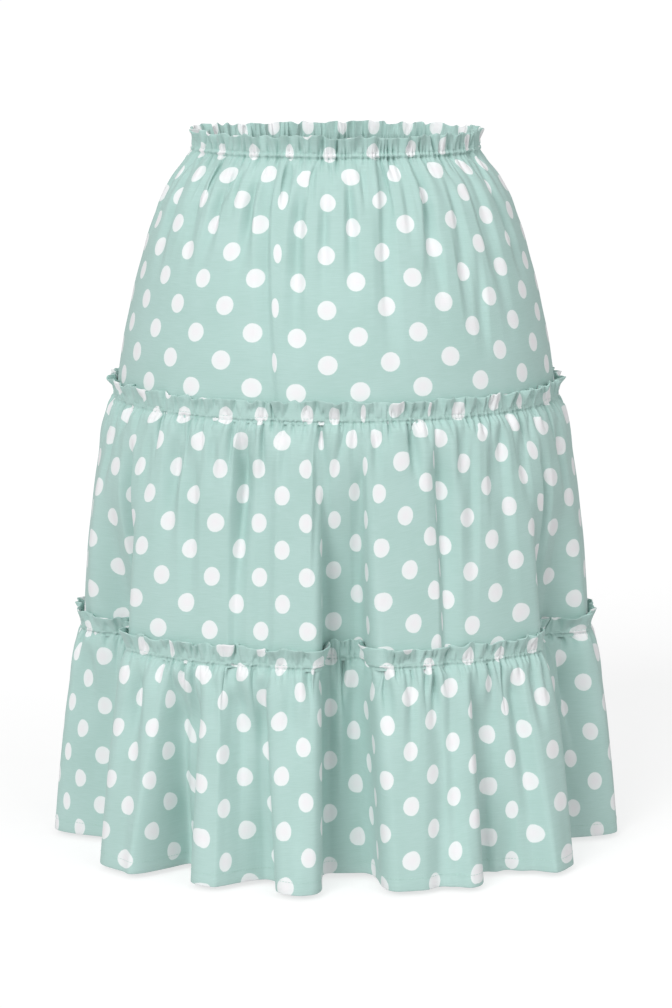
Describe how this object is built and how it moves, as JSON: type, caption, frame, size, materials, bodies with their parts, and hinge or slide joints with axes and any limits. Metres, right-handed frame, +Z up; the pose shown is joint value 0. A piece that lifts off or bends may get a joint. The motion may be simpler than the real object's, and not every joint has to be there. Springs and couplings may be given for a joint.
{
  "type": "peasant skirt",
  "caption": "Knee-length tiered peasant skirt in dotted cotton jersey, filled out, with a frilled elastic waist, gathered tiers with frill headings and a waving hem.",
  "frame": {"origin": "centre of the waist, level with the elastic, where the wearer holds the skirt up", "axes": "+Z up along the wearer's body, -Y towards the front of the skirt, +X towards the wearer's left"},
  "size_m": [0.543, 0.4335, 0.6741],
  "materials": {
    "top_tier_jersey": "matte mint-green cotton jersey with a staggered print of white dots",
    "middle_tier_jersey": "matte mint-green cotton jersey with a staggered print of white dots",
    "bottom_tier_jersey": "matte mint-green cotton jersey with a staggered print of white dots"
  },
  "bodies": {
    "root": {"top_tier_front": "top_tier_jersey", "top_tier_back": "top_tier_jersey", "middle_tier_front": "middle_tier_jersey", "middle_tier_back": "middle_tier_jersey", "bottom_tier_front": "bottom_tier_jersey", "bottom_tier_back": "bottom_tier_jersey"}
  },
  "joints": []
}
